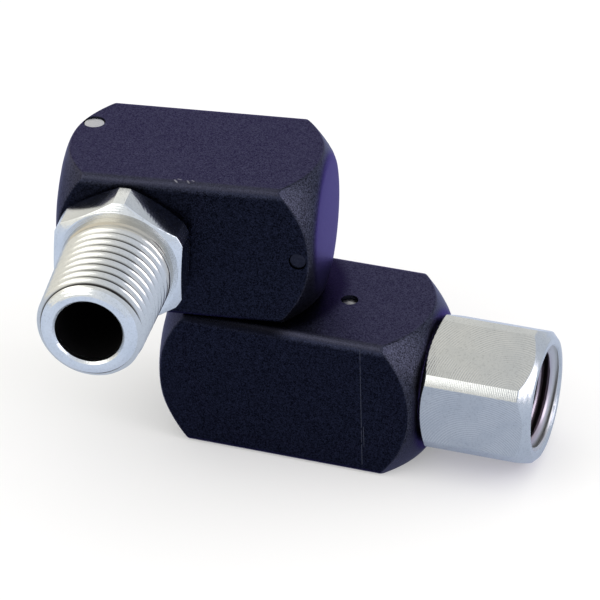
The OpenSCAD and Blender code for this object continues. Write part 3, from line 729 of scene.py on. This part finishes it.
def buildStud():
    s = stud
    angles, reach, onLand = hexAngles(s["across"], s["cornerDia"], s["turn"], s["columns"])
    hexFront, hexBack, face, journal = s["hexFront"], s["hexBack"], s["faceRadius"], s["journal"]
    flare = (reach - face) * s["faceSlope"]

    def crest(height):      # straight line from the hexagon to the small end
        share = (height - hexFront) / (s["threadEnd"] - hexFront)
        return s["crestAtHex"] + (s["crestAtTip"] - s["crestAtHex"]) * share

    # journal in the bar: the pin's round groove, then the two seal grooves with the port recess between them
    pinOut, pinAt = s["pinCentre"]
    grooveHeight = pinAt + math.sqrt(s["pinRadius"] ** 2 - (pinOut - journal) ** 2) * np.linspace(-1, 1, 7)
    grooveRadius = pinOut - np.sqrt(np.maximum(s["pinRadius"] ** 2 - (grooveHeight - pinAt) ** 2, 0))
    profile = [(0.0, s["back"]), (journal - 0.4, s["back"]), (journal, s["back"] + 0.4)]
    profile += list(zip(grooveRadius, grooveHeight))
    wall, sealHalf, portHalf, sealFloor = s["wall"], s["sealWidth"] / 2, s["portHalf"], s["sealFloor"]
    front = pinAt + s["pinRadius"]
    inner = front + wall + sealHalf
    port = front + wall * 2 + s["sealWidth"] + portHalf
    outer = port + portHalf + wall + sealHalf
    portFloor = journal - s["portDepth"]
    recesses = (inner, sealHalf, sealFloor), (port, portHalf, portFloor), (outer, sealHalf, sealFloor)
    for middle, half, floor in recesses:
        low, high = middle - half, middle + half
        profile += [(journal, low), (floor, low), (floor, high), (journal, high)]
    grids = [(turnedGrid(angles, profile + [(journal, hexBack)]), turned)]

    # hexagon: back face, back cone, flats and lands, front cone, front face
    hexGrid = roundedGrid(angles, [
        (journal, hexBack), (face, hexBack), (reach, hexBack + flare), (reach, hexFront - flare), (face, hexFront),
        (crest(hexFront), hexFront)], [0, 0, s["edge"], s["edge"], s["edge"], 0])
    finish = np.full((len(hexGrid) - 1, len(angles) - 1), turned)
    finish[4:6] = np.where(onLand, turned, milled)[None, :]
    grids.append((hexGrid, finish))

    # thread, then the lead-in cone takes whatever stands outside it
    last = s["threadEnd"] + s["pastEnd"]
    radius, height, cutShare = threadGrid(angles, hexFront, last, s["pitch"], crest, s["depth"],
                                          lambda h: easeIn(h, hexFront + s["runOut"][0], hexFront + s["runOut"][1]))
    coneSlope = (s["crestAtTip"] - s["tipRadius"]) / (s["tip"] - s["threadEnd"])
    coneAtLast = s["crestAtTip"] - s["pastEnd"] * coneSlope
    cone = s["crestAtTip"] - (height - s["threadEnd"]) * coneSlope
    radius = np.where(height > s["threadEnd"], np.minimum(radius, cone), radius)
    radius = np.where(height <= hexFront + 1e-9, crest(hexFront), radius)
    radius = np.where(height >= last - 1e-9, coneAtLast, radius)
    grids.append((around(angles, radius, height), threaded, cutShare))

    # lead-in cone, end face, chamfered mouth and the bore with its drill point
    bore, tip = s["boreRadius"], s["tip"]
    tipGrid = roundedGrid(angles, [(coneAtLast, last), (s["tipRadius"], tip), (bore + 0.3, tip), (bore, tip - 0.3),
                                   (bore, tip - 1.2)], [0, 0.25, 0.05, 0.05, 0])
    grids.append((tipGrid, turned))
    boreRows = [(bore, h) for h in (tip - 1.2, 20.0, 10.0, s["boreEnd"] + 1.2)] + [(0, s["boreEnd"])]
    grids.append((turnedGrid(angles, boreRows), bored))
    placePiece(makeSolid("threadedStud", studPlace, grids, studSteel), "stud", "inlet_stud")


# socket: hexagon with a taper thread inside
socket = {
    "across": 16.6, "cornerDia": 18.4, "turn": 270 + 28.3, "hexBack": 24.25, "face": 38.35,
    "backRadius": 8.05, "backSlope": 0.577, "faceRadius": 7.65, "faceSlope": 1.0, "mouthRadius": 6.95,
    "mouthDepth": 1.1, "lipIn": 0.25, "lipDown": 0.22, "tapRadius": 5.6, "tapEnd": 25.55, "depth": 1.13,
    "pitch": 1.411, "fadeOver": 2.5, "boreRadius": 4.0, "boreCone": 1.87, "shank": 7.0, "start": 9.9,
    "sealAt": lowerSpan[1] - 4.2, "sealHalf": 1.05, "sealFloor": 5.5, "columns": 216, "edge": 0.10}


def buildSocket():
    s = socket
    angles, reach, onLand = hexAngles(s["across"], s["cornerDia"], s["turn"], s["columns"])
    bore, shank, start, face, hexBack = s["boreRadius"], s["shank"], s["start"], s["face"], s["hexBack"]
    sealLow, sealHigh = s["sealAt"] - s["sealHalf"], s["sealAt"] + s["sealHalf"]
    profile = [(bore, start), (shank - 0.5, start), (shank, start + 0.5), (shank, sealLow), (s["sealFloor"], sealLow),
               (s["sealFloor"], sealHigh), (shank, sealHigh), (shank, hexBack)]
    grids = [(turnedGrid(angles, profile), turned)]

    backFlare = (reach - s["backRadius"]) * s["backSlope"]
    frontFlare = (reach - s["faceRadius"]) * s["faceSlope"]
    lip = s["mouthRadius"] - s["lipIn"]
    hexGrid = roundedGrid(angles, [
        (shank, hexBack), (s["backRadius"], hexBack), (reach, hexBack + backFlare), (reach, face - frontFlare),
        (s["faceRadius"], face), (s["mouthRadius"], face), (lip, face - s["lipDown"])],
        [0, 0, s["edge"], s["edge"], 0.12, 0.1, 0])
    finish = np.full((len(hexGrid) - 1, len(angles) - 1), turned)
    finish[4:6] = np.where(onLand, turned, milled)[None, :]
    grids.append((hexGrid, finish))

    # female thread from the countersink inwards: the crest is the drilled hole, the root lies outside it
    low, high = s["tapEnd"], face - s["lipDown"]
    taper = 1 / 32

    def crest(height):
        return s["tapRadius"] + 0 * height

    def deep(height):      # the cut follows the taper and dies out towards the bottom of the hole
        return (1 + (height - high) * taper / s["depth"]) * easeIn(height, low, low + s["fadeOver"])

    radius, height, cutShare = threadGrid(angles, low, high, s["pitch"], crest, s["depth"], deep, side=-1)
    countersink = s["mouthRadius"] - (face - height) * (s["mouthRadius"] - s["tapRadius"]) / s["mouthDepth"]
    radius = np.maximum(radius, countersink)
    radius = np.where(height >= high - 1e-9, lip, radius)
    radius = np.where(height <= low + 1e-9, s["tapRadius"], radius)
    grids.append((around(angles, radius[::-1], height[::-1]), threaded, cutShare[::-1]))
    boreRows = [(s["tapRadius"], low), (bore, low - s["boreCone"]), (bore, 16.0), (bore, start)]
    grids.append((turnedGrid(angles, boreRows), bored))
    placePiece(makeSolid("threadedSocket", socketPlace, grids, socketSteel), "lower_bar", "outlet_socket")


# pins: plain dowels with softly rounded ends; foot and axis in the bar's frame, from and to along the axis
pins = {
    "studPin": {"node": "stud_pin", "body": "upper_bar", "bar": upperPlace, "foot": (-20.92, 3.67, 0),
                "axis": downBar, "radius": 1.35, "from": 3.7, "to": 18.87, "dome": 0.03, "finish": pinFinish},
    "pivotPin": {"node": "pivot_pin", "body": "upper_bar", "bar": upperPlace, "foot": (7.4, 0, 9.4),
                 "axis": outFront, "radius": 1.1, "from": -3.675, "to": 9.305, "dome": 0.10, "finish": darkPinFinish},
    "socketPin": {"node": "socket_pin", "body": "lower_bar", "bar": lowerPlace, "foot": (12.6, 0, 0),
                  "axis": downBar, "radius": 1.1, "from": 14.85, "to": 18.5, "dome": 0.20, "finish": dullPinFinish}}


def buildPin(name, pin):
    angles = np.radians(np.linspace(0, 360, 65))
    radius, low, high = pin["radius"], pin["from"], pin["to"]
    grid = roundedGrid(angles, [
        (0, low), (radius * 0.72, low), (radius, low + 0.3), (radius, high - 0.12), (radius * 0.92, high),
        (0, high + pin["dome"])], [0, 0.1, 0.1, 0.06, 0.06, 0])
    solid = makeSolid(name, barAxis(pin["bar"], pin["foot"], pin["axis"]), [(grid, 0)], [pin["finish"]])
    placePiece(solid, pin["body"], pin["node"])


buildStud()
buildSocket()
for name, pin in pins.items():
    buildPin(name, pin)

# finishes on the solids that stay
solidFinish = {
    "pivot_spool": pinFinish,
    "stud_o_ring_outer": sealFinish, "stud_o_ring_inner": sealFinish, "pivot_o_ring_lower": sealFinish,
    "pivot_o_ring_upper": sealFinish, "socket_o_ring": sealFinish, "stud_washer": washerFinish,
    "pivot_washer": washerFinish, "passage_plug": plugFinish}
for node, material in solidFinish.items():
    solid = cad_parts[node]
    if not solid.material_slots:
        solid.data.materials.append(material)
    for entry in solid.material_slots:
        entry.material = material
print("solids dressed")

# floor, light and camera
studio = {
    "floorAlbedo": (0.85, 0.845, 0.83), "mirrorAlbedo": (0.55, 0.62, 0.75), "mirrorFloor": (0.66, 0.72, 0.90),
    "cameraGlow": 0.28, "mirrorGlow": 0.22,
    "worldDiffuse": 1.13, "warm": (1.08, 1.05, 0.97), "cool": (0.74, 0.80, 0.92),
    "key": {"at": (-0.24, -0.38, 0.40), "size": (0.46, 0.34), "power": 0.66, "colour": (1.0, 0.985, 0.95)},
    "side": {"at": (0.56, -0.04, 0.26), "size": (0.42, 0.40), "power": 1.30, "colour": (0.93, 0.90, 1.0)}}


def anyOfRays(tree, *names):
    path = tree.nodes.new("ShaderNodeLightPath").outputs
    total = path[names[0]]
    for name in names[1:]:
        total = larger(tree, total, path[name])
    return total


def buildFloor():
    size = 3.0
    mesh = bpy.data.meshes.new("floor")
    mesh.from_pydata([(-size, -size, 0), (size, -size, 0), (size, size, 0), (-size, size, 0)], [], [(0, 1, 2, 3)])
    floor = bpy.data.objects.new("floor", mesh)
    scene.collection.objects.link(floor)
    floor.location.z = -0.00002      # just under the bar, so the two don't share a plane
    material = bpy.data.materials.new("floorPaper")
    material.use_nodes = True
    tree = material.node_tree
    tree.nodes.clear()
    paper = tree.nodes.new("ShaderNodeBsdfDiffuse")
    seen = anyOfRays(tree, "Is Camera Ray")
    tree.links.new(mixColour(tree, seen, studio["mirrorAlbedo"], studio["floorAlbedo"]), paper.inputs["Color"])
    mirrored = tree.nodes.new("ShaderNodeEmission")
    mirrored.inputs["Color"].default_value = (*studio["mirrorFloor"], 1)
    white = tree.nodes.new("ShaderNodeEmission")
    first, second = tree.nodes.new("ShaderNodeMixShader"), tree.nodes.new("ShaderNodeMixShader")
    # the paper glows a little in the metal, and a little more to the camera, so it stays white round the shadow
    inMirror = anyOfRays(tree, "Is Glossy Ray", "Is Transmission Ray")
    tree.links.new(times(tree, inMirror, studio["mirrorGlow"]), first.inputs[0])
    tree.links.new(paper.outputs[0], first.inputs[1])
    tree.links.new(mirrored.outputs[0], first.inputs[2])
    tree.links.new(times(tree, seen, studio["cameraGlow"]), second.inputs[0])
    tree.links.new(first.outputs[0], second.inputs[1])
    tree.links.new(white.outputs[0], second.inputs[2])
    out = tree.nodes.new("ShaderNodeOutputMaterial")
    tree.links.new(second.outputs[0], out.inputs[0])
    mesh.materials.append(material)


def buildWorld():
    world = bpy.data.worlds.new("studio")
    scene.world = world
    world.use_nodes = True
    tree = world.node_tree
    background = tree.nodes["Background"]
    # seen in the metal, the tent is warm on the left and cool on the right
    split = tree.nodes.new("ShaderNodeSeparateXYZ")
    tree.links.new(tree.nodes.new("ShaderNodeTexCoord").outputs["Generated"], split.inputs[0])
    tint = mixColour(tree, ease(tree, split.outputs[0], -0.6, 0.7), studio["warm"], studio["cool"])
    mirrored = anyOfRays(tree, "Is Glossy Ray", "Is Transmission Ray")
    tree.links.new(mixColour(tree, mirrored, (1.0, 1.0, 1.0), tint), background.inputs["Color"])
    # strength 1 where it is seen, worldDiffuse where it only lights
    seen = anyOfRays(tree, "Is Camera Ray", "Is Glossy Ray", "Is Transmission Ray")
    strength = add(tree, times(tree, seen, 1 - studio["worldDiffuse"]), studio["worldDiffuse"])
    tree.links.new(strength, background.inputs["Strength"])


def buildLamp(name, settings, target=(0.006, -0.005, 0.018)):
    lamp = bpy.data.lights.new(name, "AREA")
    lamp.shape = "RECTANGLE"
    lamp.size, lamp.size_y = settings["size"]
    lamp.energy = settings["power"]
    lamp.color = settings["colour"]
    holder = bpy.data.objects.new(name, lamp)
    scene.collection.objects.link(holder)
    holder.location = settings["at"]
    holder.rotation_euler = (Vector(target) - Vector(settings["at"])).to_track_quat("-Z", "Y").to_euler()


view = {"azimuth": 19.288, "elevation": 31.961, "roll": -0.628, "target": (6.006, 0.0, 17.737),
        "distance": 462.283, "lens": 220.356}


def buildCamera():
    a, e, r = (math.radians(view[k]) for k in ("azimuth", "elevation", "roll"))
    back = Vector((math.sin(a) * math.cos(e), -math.cos(a) * math.cos(e), math.sin(e)))
    right = Vector((math.cos(a), math.sin(a), 0))
    up = back.cross(right)
    camRight = right * math.cos(r) + up * math.sin(r)
    camUp = up * math.cos(r) - right * math.sin(r)
    data = bpy.data.cameras.new("photoView")
    data.sensor_width = 36.0
    data.lens = view["lens"]
    data.clip_start, data.clip_end = 0.01, 20.0
    camera = bpy.data.objects.new("photoView", data)
    scene.collection.objects.link(camera)
    place = (Vector(view["target"]) + back * view["distance"]) * mm
    camera.matrix_world = Matrix((
        (camRight.x, camUp.x, back.x, place.x), (camRight.y, camUp.y, back.y, place.y),
        (camRight.z, camUp.z, back.z, place.z), (0, 0, 0, 1)))
    scene.camera = camera


buildFloor()
buildWorld()
buildLamp("keyLamp", studio["key"])
buildLamp("sideLamp", studio["side"])
buildCamera()
scene.view_settings.view_transform = "Standard"
print("studio set")
